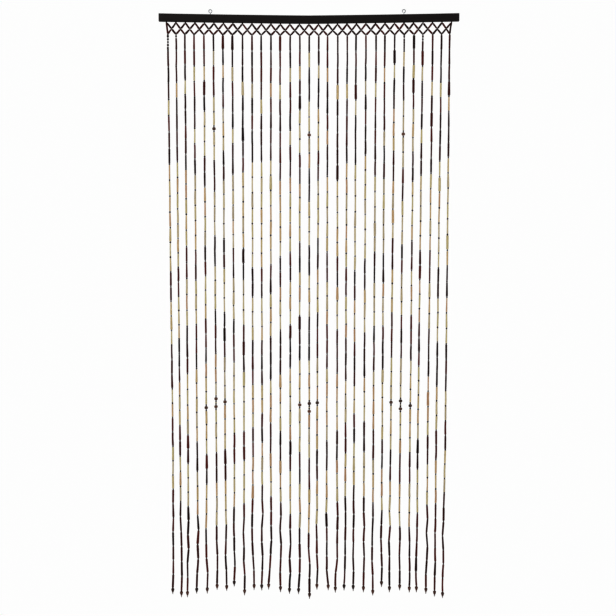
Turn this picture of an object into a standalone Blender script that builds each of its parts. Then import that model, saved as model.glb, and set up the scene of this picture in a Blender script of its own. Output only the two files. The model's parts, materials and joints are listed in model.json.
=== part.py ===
"""Bamboo tube door curtain hanging from its wooden head bar.

Metres, +Z up, front towards -Y. The origin is above the middle of the bar, on the line
through the centres of the two screw-eye rings, where the curtain hangs from its hooks.
"""
import math
import random

import bmesh
import bpy

# Head bar: a wooden slat that sags a little between its ends. A bow of 2 would be
# an even arc and a bow of 1 two straight halves
BAR_LENGTH = 0.900
BAR_HEIGHT = 0.0228
BAR_DEPTH = 0.0110
BAR_SAG = 0.0066
BAR_BOW = 1.3
BAR_TOP_AT_ENDS = -0.0072
BAR_STEPS = 12
BAR_EDGE = 0.0007

# Cord holes in the underside of the bar, one above each strand
STRANDS = 31
MIDDLE = 16
HOLE_PITCH = 0.0285
HOLE_RADIUS = 0.0016
HOLE_DEPTH = 0.0060
HOLE_SIDES = 6
GAP = 0.0003

# Screw eyes of bent wire
EYE_SPACING = 0.580
EYE_SHIFT = -0.0055
EYE_WIRE = 0.0010
EYE_RING = 0.0046
EYE_ROOT_DEPTH = 0.0120
EYE_HOLE_RADIUS = 0.00142
EYE_HOLE_SIDES = 8
EYE_NECK = 0.0072
EYE_BEND_OUT = 0.0005
EYE_BEND_UP = 0.0016
EYE_RING_START = -70.0
EYE_RING_END = 245.0
EYE_RING_STEPS = 20

# Heading: short tubes crossed into diamonds between the bar and the strands
HEADING_THICKNESS = 0.0054
HEADING_ARM = 0.0027
HEADING_PEAK = 0.0015
HEADING_TOP_GAP = 0.0012
HEADING_DROP = 0.0375
HEADING_CROSS = 0.0211
HEADING_FOLLOW = 0.68

# Strands: bamboo tubes on a cord, with a seed bead at each joint
TUBE_RADIUS = 0.0024
THICK_TUBE_RADIUS = 0.0034
CORD_RADIUS = 0.0007
PEG_RADIUS = 0.0010
LONGEST_END = -1.8070
THICK_TUBE_STEP = 0.0012
LOOSE_TUBES = 6
PLAIN_RUN = 3
HIGH_LEVEL = -0.600
MIDDLE_LEVEL = -1.210
LOW_LEVEL = -1.360
KNEE_LEVEL = -1.640
UPPER_SWAY = 0.0004
LOOSE_SWAY = 0.0021
DEPTH_SWAY = 0.0004

# At the foot the strands as a whole stand to the left and closer together
LEAN = -0.0050
GATHER = 0.0030

# Turned wooden balls threaded between the tubes
BALL_RADIUS = 0.0053
BALL_BORE = 0.0011
BALL_SPACER = 0.0140
BALL_SIDES = 8
BALL_LATITUDES = (62, 25, -25, -62)

# Turned end beads, each held by a knot
END_BEAD_LENGTH = 0.0140
END_BEAD_RADIUS = 0.0047
END_BEAD_SIDES = 6
KNOT_RADIUS = 0.0019
KNOT_LENGTH = 0.0034
TAIL_LENGTH = 0.0021

# Tubes down a strand by its distance from the middle of a diamond:
# D a dark tube, L a light tube, O a ball, S a short spacer between two balls
CHART = {
    0: "D L DD LL O LL DD LLL DD LLL DDD LLL O S O LLL DD LLL DDDD",
    1: "DD L DD LLL DD LLLL DD LLL DDD LLL O LLL DD LLL DDDD",
    2: "DD L DDD L DD LLLLL DD LLL DDD LLLLL DD LLL DDDDD",
    3: "DDD L DDDDD LLLLL DD LLL DDD LLLL DD LLL DDDDDD",
    4: "DDD L DDDD LLLLLLL DD LLL DDD LLL DD LLL DDDDDD",
    5: "DDDD L DDD LLLLLLL DD LLL DDD LL DD LLL DDDDDDD",
}
DIAMOND_CENTRES = (6, 16, 26)

# How each strand hangs, in millimetres: shift is its place against an even
# spacing, low, knee and tip are how far it strays sideways on the way down,
# short is how much shorter it is than the longest one
HANG = {
    # strand: (shift, low, knee, tip, short)
    1: (4, 3, 1, 0, 15),
    2: (0, 1, 1, 1, 5),
    3: (-2, -1, -3, -6, 5),
    4: (-3, 0, 1, -4, 16),
    5: (-2, 0, -2, 0, 17),
    6: (-2, 2, 3, -1, 28),
    7: (-2, 1, 2, 2, 25),
    8: (-2, 1, 0, -1, 39),
    9: (0, 1, -1, 0, 11),
    10: (0, 0, -3, 4, 28),
    11: (-1, 1, 1, 0, 27),
    12: (0, -2, 1, -8, 30),
    13: (-1, 1, 2, -1, 21),
    14: (1, 1, 1, 1, 16),
    15: (1, 2, 2, 1, 15),
    16: (1, 3, 4, 4, 0),
    17: (1, -1, 0, 2, 29),
    18: (-1, 3, 3, 8, 27),
    19: (1, 4, 8, 0, 20),
    20: (1, 2, 2, 2, 27),
    21: (-1, 2, 2, 4, 25),
    22: (0, 4, 5, 6, 21),
    23: (2, 2, 3, 3, 10),
    24: (0, 3, 3, 6, 38),
    25: (1, 0, -1, 1, 21),
    26: (1, 1, 2, 7, 27),
    27: (2, 2, 4, 7, 20),
    28: (0, 0, 1, -1, 21),
    29: (1, 1, 3, 1, 16),
    30: (-1, 1, 3, 2, 7),
    31: (-5, 5, 2, 4, 2),
}

# How far a strand's joints stand above an even spacing at the high and the middle
# level, in millimetres, because no two strands have tubes of just the same lengths
LIFT = {
    # strand: (high, middle)
    1: (-26, -12), 2: (-12, 18), 3: (20, -14), 4: (-4, 4), 5: (4, 16), 6: (1, 9), 7: (26, 29),
    8: (-10, 16), 9: (10, -6), 10: (-16, -6), 11: (-16, -6), 12: (-8, 8), 13: (-24, -14),
    14: (-10, 10), 15: (20, 27), 16: (-22, 14), 17: (26, 24), 18: (-12, 0), 19: (-26, -10),
    20: (-20, 10), 21: (-26, -6), 22: (14, 20), 23: (-6, 0), 24: (-24, -8), 25: (26, 30),
    26: (-30, 4), 27: (22, 20), 28: (-8, 10), 29: (0, -26), 30: (-10, 0), 31: (6, -14),
}

# The thick tubes that stand out, counted from the top of their strand
THICK = {
    3: (26, 31, 33), 4: (33, 34), 5: (3, 28), 7: (0, 20, 28), 8: (0,), 9: (3, 6, 14, 20, 22, 27),
    10: (30,), 12: (9,), 13: (0, 22, 28), 14: (19, 27, 35), 15: (4, 19, 34), 16: (29, 35),
    18: (32,), 19: (3, 8, 16, 32), 21: (3,), 23: (12,), 24: (22,), 25: (1, 12), 27: (0, 2, 3),
    28: (1, 15, 27, 35), 29: (5, 23), 30: (9,), 31: (3, 13),
}

MILLIMETRE = 0.001


def clear_scene():
    """Take every object out of the open file."""
    for item in list(bpy.data.objects):
        bpy.data.objects.remove(item, do_unlink=True)


def new_collection(name):
    """Add a collection to the scene."""
    group = bpy.data.collections.new(name)
    bpy.context.scene.collection.children.link(group)
    return group


def make_material(name, colour, roughness, metallic=0.0):
    """Make a plain Principled material."""
    material = bpy.data.materials.new(name)
    material.use_nodes = True
    shader = material.node_tree.nodes["Principled BSDF"]
    shader.inputs["Base Color"].default_value = (*colour, 1.0)
    shader.inputs["Roughness"].default_value = roughness
    shader.inputs["Metallic"].default_value = metallic
    material.diffuse_color = (*colour, 1.0)
    return material


def add_object(name, data, group, material=None):
    """Link an object for the given mesh or curve."""
    item = bpy.data.objects.new(name, data)
    group.objects.link(item)
    if material is not None:
        data.materials.append(material)
    return item


def sag(x):
    """How far the bar has sunk at x below its ends."""
    return BAR_SAG * (1.0 - abs(2.0 * x / BAR_LENGTH) ** BAR_BOW)


def bar_top(x):
    """Height of the top of the bar at x."""
    return BAR_TOP_AT_ENDS - sag(x)


def bar_bottom(x):
    """Height of the underside of the bar at x."""
    return bar_top(x) - BAR_HEIGHT


def hole_x(strand):
    """Place of a strand's hole along the bar."""
    return (strand - MIDDLE) * HOLE_PITCH


def eye_x(side):
    """Place of a screw eye along the bar: the pair is fitted a little left of its middle."""
    return EYE_SHIFT + side * EYE_SPACING / 2


def root_x(strand):
    """Place of a strand's top end, under the heading."""
    return hole_x(strand) + HANG[strand][0] * MILLIMETRE


def heading_bottom(x):
    """Height of the foot of the heading, which follows most of the bar's sag."""
    return BAR_TOP_AT_ENDS - BAR_HEIGHT - HEADING_DROP - HEADING_FOLLOW * sag(x)


def mesh_from_curve(curve_object, name, group, material):
    """Turn a curve object into a closed mesh object in the same place."""
    graph = bpy.context.evaluated_depsgraph_get()
    mesh = bpy.data.meshes.new_from_object(curve_object.evaluated_get(graph))
    work = bmesh.new()
    work.from_mesh(mesh)
    bmesh.ops.remove_doubles(work, verts=work.verts, dist=0.00001)
    bmesh.ops.recalc_face_normals(work, faces=work.faces)
    work.to_mesh(mesh)
    work.free()
    mesh.name = name
    mesh.materials.clear()
    item = add_object(name, mesh, group, material)
    item.matrix_world = curve_object.matrix_world.copy()
    bpy.data.objects.remove(curve_object, do_unlink=True)
    return item


# Head bar


def hole_cutters(group):
    """One mesh of all the pins that cut the blind holes in the bar."""
    work = bmesh.new()
    overrun = 0.002
    for strand in range(1, STRANDS + 1):
        x = hole_x(strand)
        low = bar_bottom(x) - overrun
        high = bar_bottom(x) + HOLE_DEPTH
        add_pin(work, x, low, high, HOLE_RADIUS, HOLE_SIDES)
    for side in (-1, 1):
        x = eye_x(side)
        low = bar_top(x) - EYE_ROOT_DEPTH - GAP
        high = bar_top(x) + overrun
        add_pin(work, x, low, high, EYE_HOLE_RADIUS, EYE_HOLE_SIDES)
    mesh = bpy.data.meshes.new("bar_hole_pins")
    work.to_mesh(mesh)
    work.free()
    cutter = add_object("bar_hole_pins", mesh, group)
    cutter.hide_render = True
    cutter.display_type = "WIRE"
    return cutter


def add_pin(work, x, low, high, radius, sides):
    """Add one upright pin between two heights."""
    made = bmesh.ops.create_cone(
        work, cap_ends=True, segments=sides, radius1=radius, radius2=radius, depth=high - low)
    bmesh.ops.translate(work, verts=made["verts"], vec=(x, 0.0, (low + high) / 2))


def make_head_bar(group, cutters, material):
    """The slat: a long box, bent down in the middle, with its edges eased."""
    work = bmesh.new()
    bmesh.ops.create_cube(work, size=1.0)
    bmesh.ops.scale(work, verts=work.verts, vec=(BAR_LENGTH, BAR_DEPTH, BAR_HEIGHT))
    long_edges = [edge for edge in work.edges
                  if abs(edge.verts[0].co.x - edge.verts[1].co.x) > BAR_LENGTH / 2]
    bmesh.ops.subdivide_edges(work, edges=long_edges, cuts=BAR_STEPS - 1, use_grid_fill=True)
    for vert in work.verts:
        vert.co.z += bar_top(vert.co.x) - BAR_HEIGHT / 2
    mesh = bpy.data.meshes.new("head_bar")
    work.to_mesh(mesh)
    work.free()
    bar = add_object("head_bar", mesh, group, material)
    bevel = bar.modifiers.new("eased edges", "BEVEL")
    bevel.width = BAR_EDGE
    bevel.segments = 1
    bevel.limit_method = "ANGLE"
    bevel.angle_limit = math.radians(40)
    holes = bar.modifiers.new("blind holes", "BOOLEAN")
    holes.operation = "DIFFERENCE"
    holes.solver = "EXACT"
    holes.object = hole_cutters(cutters)
    return bar


# Screw eyes


def make_screw_eye(name, side, group, material):
    """A wire that rises from the bar and bends round into a ring."""
    x = eye_x(side)
    points = [(0.0, bar_top(x) - EYE_ROOT_DEPTH), (0.0, -EYE_NECK), (EYE_BEND_OUT, EYE_BEND_UP - EYE_NECK)]
    for step in range(EYE_RING_STEPS + 1):
        share = step / EYE_RING_STEPS
        angle = math.radians(EYE_RING_START + (EYE_RING_END - EYE_RING_START) * share)
        points.append((EYE_RING * math.cos(angle), EYE_RING * math.sin(angle)))
    data = bpy.data.curves.new(name, "CURVE")
    data.dimensions = "3D"
    data.bevel_depth = EYE_WIRE
    data.bevel_resolution = 2
    data.use_fill_caps = True
    wire = data.splines.new("POLY")
    wire.points.add(len(points) - 1)
    for point, (across, height) in zip(wire.points, points):
        point.co = (across, 0.0, height, 1.0)
    path = add_object(name + "_path", data, group)
    path.location = (x, 0.0, 0.0)
    bpy.context.view_layer.update()
    eye = mesh_from_curve(path, name, group, material)
    eye.data.shade_smooth()
    return eye


# Heading


def crossing(strand):
    """Where the arms of this strand and the next one cross."""
    x = (hole_x(strand) + hole_x(strand + 1) + root_x(strand) + root_x(strand + 1)) / 4
    return x, bar_bottom(x) - HEADING_CROSS


def heading_outlines():
    """The outer outline of the heading and one outline for each hole in it."""
    half_pitch = HOLE_PITCH / 2
    upper = math.atan2(half_pitch, HEADING_CROSS)
    lower = math.atan2(half_pitch, HEADING_DROP - HEADING_CROSS)
    over = HEADING_ARM / math.sin(upper)
    under = HEADING_ARM / math.sin(lower)
    beside = HEADING_ARM / math.cos(upper)
    top_edge = []
    bottom_edge = []
    holes = []
    for strand in range(1, STRANDS + 1):
        x = hole_x(strand)
        foot = root_x(strand)
        top = bar_bottom(x) - HEADING_TOP_GAP
        bottom = heading_bottom(foot)
        top_edge += [(x - HEADING_PEAK, top), (x + HEADING_PEAK, top)]
        bottom_edge += [(foot - HEADING_PEAK, bottom), (foot + HEADING_PEAK, bottom)]
        diamond = []
        if strand > 1:
            near_x, near_z = crossing(strand - 1)
            diamond.append((near_x + beside, near_z))
        shift = {1: HEADING_ARM, STRANDS: -HEADING_ARM}.get(strand, 0.0)
        diamond.append((x + shift, top - over))
        if strand < STRANDS:
            far_x, far_z = crossing(strand)
            top_edge.append((far_x, far_z + over))
            bottom_edge.append((far_x, far_z - under))
            diamond.append((far_x - beside, far_z))
        diamond.append((foot + shift, bottom + under))
        holes.append(diamond)
    return top_edge + bottom_edge[::-1], holes


def make_heading(group, material):
    """A plate in the plane of the curtain, cut through at every diamond."""
    outer, holes = heading_outlines()
    data = bpy.data.curves.new("heading_outline", "CURVE")
    data.dimensions = "2D"
    data.fill_mode = "BOTH"
    data.extrude = HEADING_THICKNESS / 2
    for corners in [outer] + holes:
        spline = data.splines.new("POLY")
        spline.points.add(len(corners) - 1)
        for point, (x, z) in zip(spline.points, corners):
            point.co = (x, z, 0.0, 1.0)
        spline.use_cyclic_u = True
    outline = add_object("heading_outline", data, group)
    outline.rotation_euler.x = math.radians(90)
    bpy.context.view_layer.update()
    return mesh_from_curve(outline, "heading", group, material)


# Strands


def strand_codes(strand):
    """The tubes and balls of a strand, top to bottom."""
    distance = min(abs(strand - centre) for centre in DIAMOND_CENTRES)
    return CHART[distance].replace(" ", "")


def strand_end(strand):
    """Height of the lowest point of a strand's knot."""
    return LONGEST_END + HANG[strand][4] * MILLIMETRE


def between_levels(z, levels, values):
    """The value at height z of a line drawn through the values at falling levels."""
    for upper in range(len(levels) - 1):
        if z >= levels[upper + 1]:
            share = (levels[upper] - z) / (levels[upper] - levels[upper + 1])
            return values[upper] + share * (values[upper + 1] - values[upper])
    return values[-1]


def hang_x(strand, z):
    """Where a strand hangs at height z, without the small kinks at its joints."""
    low, knee, tip = HANG[strand][1:4]
    root = root_x(strand)
    top = heading_bottom(root)
    drop = (top - z) / (top - LONGEST_END)
    drift = (LEAN - GATHER * root / hole_x(STRANDS)) * drop
    levels = (top, LOW_LEVEL, KNEE_LEVEL, strand_end(strand))
    return root + drift + between_levels(z, levels, (0, low, knee, tip)) * MILLIMETRE


def lift(strand, z):
    """How far a joint stands above its place z in an even spacing."""
    high, middle = LIFT[strand]
    levels = (heading_bottom(root_x(strand)), HIGH_LEVEL, MIDDLE_LEVEL, strand_finish(strand))
    return between_levels(z, levels, (0, high, middle, 0)) * MILLIMETRE


def strand_finish(strand):
    """Height of the foot of a strand's last tube."""
    return strand_end(strand) + END_BEAD_LENGTH + KNOT_LENGTH + TAIL_LENGTH


def strand_pieces(strand):
    """The pieces of a strand as (code, top height, bottom height, tube number)."""
    codes = strand_codes(strand)
    start = heading_bottom(root_x(strand))
    fixed = {"O": 2 * BALL_RADIUS, "S": BALL_SPACER}
    tubes = sum(code in "DL" for code in codes)
    taken = sum(fixed.get(code, 0.0) for code in codes)
    pitch = (start - strand_finish(strand) - taken) / tubes
    pieces = []
    top = start
    even = start
    number = 0
    for code in codes:
        even -= fixed.get(code, pitch)
        bottom = top - fixed[code] if code in fixed else even + lift(strand, even)
        pieces.append((code, top, bottom, number))
        number += code in "DL"
        top = bottom
    return pieces


def joint_places(strand):
    """Places (x, y, z) of the joints down a strand: its top, then the foot of each piece."""
    draw = random.Random(strand)
    pieces = strand_pieces(strand)
    places = [(root_x(strand), 0.0, pieces[0][1])]
    for index, (code, _, bottom, _) in enumerate(pieces):
        loose = index >= len(pieces) - LOOSE_TUBES
        sway = LOOSE_SWAY if loose else UPPER_SWAY
        x = hang_x(strand, bottom) + draw.uniform(-sway, sway)
        y = draw.uniform(-DEPTH_SWAY, DEPTH_SWAY)
        if code == "O":
            x, y = places[-1][:2]
        places.append((x, y, bottom))
    return places


def strand_rings(strand):
    """Centres and radii of the rings that shape a strand's solid."""
    pieces = strand_pieces(strand)
    places = joint_places(strand)
    thick = THICK.get(strand, ())
    top = places[0]
    rings = [((top[0], top[1], top[2] + HEADING_ARM), PEG_RADIUS), (top, TUBE_RADIUS)]
    plain = 0
    last = len(pieces) - 1
    for index, (code, _, _, number) in enumerate(pieces):
        upper = places[index]
        lower = places[index + 1]
        if code == "O":
            rings += step(upper, lower, CORD_RADIUS, GAP / 2)
            plain = 0
        elif code != "S" and number in thick:
            rings += step(upper, lower, THICK_TUBE_RADIUS, THICK_TUBE_STEP)
            plain = 0
        else:
            plain += 1
            loose = index >= len(pieces) - LOOSE_TUBES
            stepped = index < last and (pieces[index + 1][0] == "O" or pieces[index + 1][3] in thick)
            if loose or plain % PLAIN_RUN == 0 or stepped:
                rings.append((lower, TUBE_RADIUS))
    return drop_doubles(rings) + end_rings(places[-1])


def step(upper, lower, radius, inset):
    """Rings of a stretch with its own radius, set in from the joints at its ends."""
    share = inset / (upper[2] - lower[2])
    first = tuple(a + share * (b - a) for a, b in zip(upper, lower))
    last = tuple(b + share * (a - b) for a, b in zip(upper, lower))
    return [(upper, TUBE_RADIUS), (first, radius), (last, radius), (lower, TUBE_RADIUS)]


def drop_doubles(rings):
    """Leave out a ring that lies on the one before it."""
    kept = []
    for ring in rings:
        if not kept or kept[-1][0][2] - ring[0][2] > GAP / 3:
            kept.append(ring)
    return kept


def end_rings(place):
    """Rings of the cord through the end bead, its knot and its short tail."""
    x, y, z = place
    knot = z - END_BEAD_LENGTH
    tail = knot - KNOT_LENGTH
    return [
        ((x, y, z - GAP), CORD_RADIUS),
        ((x, y, knot - GAP), CORD_RADIUS),
        ((x, y, knot - KNOT_LENGTH / 2), KNOT_RADIUS),
        ((x, y, tail), CORD_RADIUS),
        ((x, y, tail - TAIL_LENGTH), CORD_RADIUS),
    ]


def add_line(data, rings):
    """Add one straight-sided spline with its own radius at each point."""
    spline = data.splines.new("POLY")
    spline.points.add(len(rings) - 1)
    for point, (place, radius) in zip(spline.points, rings):
        point.co = (*place, 1.0)
        point.radius = radius / TUBE_RADIUS


def make_strands(group, material):
    """All the strands, and the cords that enter the bar, as one set of four-sided tubes."""
    data = bpy.data.curves.new("strand_lines", "CURVE")
    data.dimensions = "3D"
    data.bevel_depth = TUBE_RADIUS
    data.bevel_resolution = 0
    data.use_fill_caps = True
    for strand in range(1, STRANDS + 1):
        add_line(data, strand_rings(strand))
        x = hole_x(strand)
        peg_top = bar_bottom(x) + HOLE_DEPTH - GAP
        peg_foot = bar_bottom(x) - HEADING_TOP_GAP - HEADING_ARM
        add_line(data, [((x, 0.0, peg_top), PEG_RADIUS), ((x, 0.0, peg_foot), PEG_RADIUS)])
    lines = add_object("strand_lines", data, group)
    bpy.context.view_layer.update()
    return mesh_from_curve(lines, "strung_curtain", group, material)


def make_strung_curtain(group, cutters, material):
    """Strands, cords and heading joined into one solid."""
    curtain = make_strands(group, material)
    heading = make_heading(cutters, material)
    heading.hide_render = True
    heading.display_type = "WIRE"
    union = curtain.modifiers.new("tied to the heading", "BOOLEAN")
    union.operation = "UNION"
    union.solver = "EXACT"
    union.object = heading
    return curtain


# Turned beads


def turned_bead(name, profile, sides, place, group, material):
    """A bored bead: a closed profile of (radius, height) turned about the upright axis."""
    mesh = bpy.data.meshes.new(name)
    work = bmesh.new()
    verts = [work.verts.new((radius, 0.0, height)) for radius, height in profile]
    for index, vert in enumerate(verts):
        work.edges.new((vert, verts[(index + 1) % len(verts)]))
    work.to_mesh(mesh)
    work.free()
    bead = add_object(name, mesh, group, material)
    bead.location = place
    screw = bead.modifiers.new("turned", "SCREW")
    screw.steps = sides
    screw.render_steps = sides
    screw.use_merge_vertices = True
    screw.merge_threshold = 0.00001
    screw.use_smooth_shade = True
    return bead


def ball_profile():
    """Top bore rim, round outside from top to bottom, bottom bore rim."""
    profile = [(BALL_BORE, BALL_RADIUS - GAP)]
    for degrees in BALL_LATITUDES:
        angle = math.radians(degrees)
        profile.append((BALL_RADIUS * math.cos(angle), (BALL_RADIUS - GAP) * math.sin(angle)))
    profile.append((BALL_BORE, GAP - BALL_RADIUS))
    return profile


def end_bead_profile():
    """A drop with its shoulder near the top, bored from end to end."""
    shares = (
        # radius, depth
        (0.42, 0.00),
        (1.00, 0.22),
        (0.90, 0.42),
        (0.36, 1.00),
    )
    profile = [(BALL_BORE, -GAP)]
    usable = END_BEAD_LENGTH - 2 * GAP
    for radius, depth in shares:
        profile.append((radius * END_BEAD_RADIUS, -GAP - depth * usable))
    profile.append((BALL_BORE, -GAP - usable))
    return profile


def make_beads(group, ball_material, end_material):
    """Every ball and every end bead, each on its own strand."""
    ball = ball_profile()
    drop = end_bead_profile()
    for strand in range(1, STRANDS + 1):
        places = joint_places(strand)
        count = 0
        for index, (code, top, bottom, _) in enumerate(strand_pieces(strand)):
            if code == "O":
                count += 1
                x, y, _ = places[index + 1]
                turned_bead(f"ball_{strand:02d}_{count}", ball, BALL_SIDES,
                            (x, y, (top + bottom) / 2), group, ball_material)
        turned_bead(f"end_bead_{strand:02d}", drop, END_BEAD_SIDES, places[-1], group, end_material)


def main():
    """Build the curtain."""
    clear_scene()
    parts = new_collection("bamboo_door_curtain")
    cutters = new_collection("cutters")
    black_wood = make_material("black stained wood", (0.012, 0.011, 0.012), 0.5)
    wire = make_material("zinc plated steel wire", (0.55, 0.55, 0.56), 0.35, 1.0)
    bamboo = make_material("stained and natural bamboo", (0.22, 0.12, 0.07), 0.5)
    turned_wood = make_material("brown turned wood", (0.14, 0.045, 0.03), 0.4)
    dark_wood = make_material("dark turned wood", (0.06, 0.022, 0.018), 0.4)
    make_head_bar(parts, cutters, black_wood)
    make_screw_eye("screw_eye_left", -1, parts, wire)
    make_screw_eye("screw_eye_right", 1, parts, wire)
    make_strung_curtain(parts, cutters, bamboo)
    make_beads(parts, turned_wood, dark_wood)


main()
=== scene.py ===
"""Bamboo door curtain on its head bar: the finish of every piece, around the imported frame.

Metres, +Z up, front towards -Y. The origin is above the middle of the bar, on the line
through the centres of the two screw-eye rings. Every piece rides on the one body, root.
"""
import json
import logging
import math
import random
from dataclasses import dataclass, field
from enum import Enum
from typing import Any, Optional, Sequence, Union

import bmesh
import bpy
import numpy as np
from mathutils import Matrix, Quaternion, Vector, noise

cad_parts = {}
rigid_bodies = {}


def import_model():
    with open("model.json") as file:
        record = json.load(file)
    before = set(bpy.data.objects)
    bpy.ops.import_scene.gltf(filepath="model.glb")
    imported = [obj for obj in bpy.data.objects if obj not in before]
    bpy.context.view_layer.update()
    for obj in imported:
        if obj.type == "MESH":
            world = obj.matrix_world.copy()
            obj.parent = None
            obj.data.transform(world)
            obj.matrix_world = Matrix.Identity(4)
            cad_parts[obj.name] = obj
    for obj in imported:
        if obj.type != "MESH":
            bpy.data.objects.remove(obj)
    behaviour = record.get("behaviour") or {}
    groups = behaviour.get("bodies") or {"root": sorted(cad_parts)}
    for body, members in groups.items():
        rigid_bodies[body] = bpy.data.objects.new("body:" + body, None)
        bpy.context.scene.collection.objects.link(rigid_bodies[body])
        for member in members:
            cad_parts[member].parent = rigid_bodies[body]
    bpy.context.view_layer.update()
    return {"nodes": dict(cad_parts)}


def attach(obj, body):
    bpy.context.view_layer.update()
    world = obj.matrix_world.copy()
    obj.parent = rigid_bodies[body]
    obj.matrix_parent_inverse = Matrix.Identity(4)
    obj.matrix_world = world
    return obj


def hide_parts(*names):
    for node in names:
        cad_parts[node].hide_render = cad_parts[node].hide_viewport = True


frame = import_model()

BODY = "root"
MM = 0.001
LOG = logging.getLogger("bamboo_curtain")

Point = tuple[float, float, float]
Profile = Sequence[tuple[float, float]]
Stops = Sequence[tuple[float, str]]
Source = Union[bpy.types.Node, bpy.types.NodeSocket]


# Small helpers


def linear(code: str) -> tuple[float, float, float, float]:
    """Turn an sRGB hex colour into linear light.

    Args:
        code: six hex digits.

    Returns:
        Red, green, blue and an alpha of one.
    """
    parts = (int(code[index:index + 2], 16) / 255 for index in (0, 2, 4))
    red, green, blue = (p / 12.92 if p <= 0.04045 else ((p + 0.055) / 1.055) ** 2.4 for p in parts)
    return red, green, blue, 1.0


def output_of(source: Source) -> bpy.types.NodeSocket:
    """Find the socket that a link starts from.

    Args:
        source: a socket, or a node whose first output in use is meant.

    Returns:
        The socket.
    """
    if isinstance(source, bpy.types.Node):
        return next(socket for socket in source.outputs if socket.enabled)
    return source


def set_stops(elements: bpy.types.ColorRampElements, stops: Stops) -> None:
    """Give a colour ramp its stops.

    Args:
        elements: the ramp's elements.
        stops: (place, hex colour) pairs.
    """
    while len(elements) < len(stops):
        elements.new(0.5)
    for element, (place, code) in zip(elements, stops):
        element.position = place
        element.color = linear(code)


def add_node(tree: bpy.types.NodeTree, kind: str, settings: Optional[dict] = None,
             links: Optional[dict] = None) -> bpy.types.Node:
    """Add a node to a tree, with its settings and its links.

    Args:
        tree: the node tree.
        kind: the node's type.
        settings: attributes by name, input values by socket name or number, and a ramp's stops.
        links: by input name or number, a socket, or a node whose first output is meant.

    Returns:
        The new node.
    """
    node = tree.nodes.new(kind)
    for name, value in (settings or {}).items():
        if name == "stops":
            set_stops(node.color_ramp.elements, value)
        elif isinstance(name, str) and hasattr(node, name):
            setattr(node, name, value)
        else:
            node.inputs[name].default_value = value
    for name, source in (links or {}).items():
        tree.links.new(output_of(source), node.inputs[name])
    return node


def link_object(name: str, data: Any) -> bpy.types.Object:
    """Put an object for this data in the scene.

    Args:
        name: the object's name.
        data: its mesh, curve, light or camera.

    Returns:
        The new object.
    """
    made = bpy.data.objects.new(name, data)
    bpy.context.scene.collection.objects.link(made)
    return made


def evaluated_mesh(source: bpy.types.Object, name: str) -> bpy.types.Mesh:
    """Take an object's shape, modifiers included, as a plain mesh, and remove the object.

    Args:
        source: the object to read.
        name: the new mesh's name.

    Returns:
        The mesh.
    """
    bpy.context.view_layer.update()
    graph = bpy.context.evaluated_depsgraph_get()
    mesh = bpy.data.meshes.new_from_object(source.evaluated_get(graph), depsgraph=graph)
    mesh.name = name
    bpy.data.objects.remove(source, do_unlink=True)
    return mesh


def dress(mesh: bpy.types.Mesh, name: str, material: bpy.types.Material,
          nodes: Sequence[str] = ()) -> bpy.types.Object:
    """Make a finished piece of a mesh: it rides on the body and stands for CAD nodes.

    Args:
        mesh: the finished mesh, with its place in its points.
        name: the piece's name.
        material: its finish.
        nodes: the CAD nodes that it stands for.

    Returns:
        The piece.
    """
    mesh.materials.clear()
    mesh.materials.append(material)
    piece = link_object(name, mesh)
    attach(piece, BODY)
    if nodes:
        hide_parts(*nodes)
    LOG.info("%s: %d faces", name, len(mesh.polygons))
    return piece


def smooth(mesh: bpy.types.Mesh, sharp: float) -> None:
    """Shade a mesh smooth, with edges sharper than this many degrees left crisp."""
    mesh.shade_smooth()
    mesh.set_sharp_from_angle(angle=math.radians(sharp))


def release(work: bmesh.types.BMesh, mesh: bpy.types.Mesh) -> bpy.types.Mesh:
    """Write a worked shape into a mesh and free it.

    Args:
        work: the shape.
        mesh: where it goes.

    Returns:
        The same mesh.
    """
    work.to_mesh(mesh)
    work.free()
    return mesh


def lathe(name: str, profile: Profile, sides: int, sharp: float = 50.0, bend: float = 0.0) -> bpy.types.Mesh:
    """Turn a profile about the Z axis into a closed mesh.

    Args:
        name: the mesh's name.
        profile: (radius, height) from the top down; a radius of zero closes to a pole.
        sides: how many sides the shape has.
        sharp: edges sharper than this many degrees stay crisp.
        bend: how far the middle stands off the axis, in the profile's units.

    Returns:
        The mesh, with the place on the unturned shape kept as the attribute grain_place.
    """
    work = bmesh.new()
    rings: list[list[bmesh.types.BMVert]] = []
    for radius, height in profile:
        off = bend * (1.0 - (2.0 * height) ** 2) if radius > 0.0 else 0.0
        angles = [math.tau * side / sides for side in range(sides if radius > 0.0 else 1)]
        rings.append([work.verts.new((radius * math.cos(angle) + off, radius * math.sin(angle), height))
                      for angle in angles])
    for upper, lower in zip(rings, rings[1:]):
        for side in range(sides):
            after = (side + 1) % sides
            if len(upper) == 1:
                work.faces.new((upper[0], lower[side], lower[after]))
            elif len(lower) == 1:
                work.faces.new((upper[side], lower[0], upper[after]))
            else:
                work.faces.new((upper[side], lower[side], lower[after], upper[after]))
    if profile[0] == profile[-1]:
        bmesh.ops.remove_doubles(work, verts=work.verts, dist=1e-7)
    bmesh.ops.recalc_face_normals(work, faces=work.faces)
    mesh = release(work, bpy.data.meshes.new(name))
    smooth(mesh, sharp)
    keep_place(mesh)
    return mesh


def keep_place(mesh: bpy.types.Mesh) -> None:
    """Store each point's present place as the attribute grain_place.

    Args:
        mesh: the mesh to mark.
    """
    places = np.zeros(len(mesh.vertices) * 3, np.float32)
    mesh.vertices.foreach_get("co", places)
    held = mesh.attributes.new("grain_place", "FLOAT_VECTOR", "POINT")
    held.data.foreach_set("vector", places)


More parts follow.
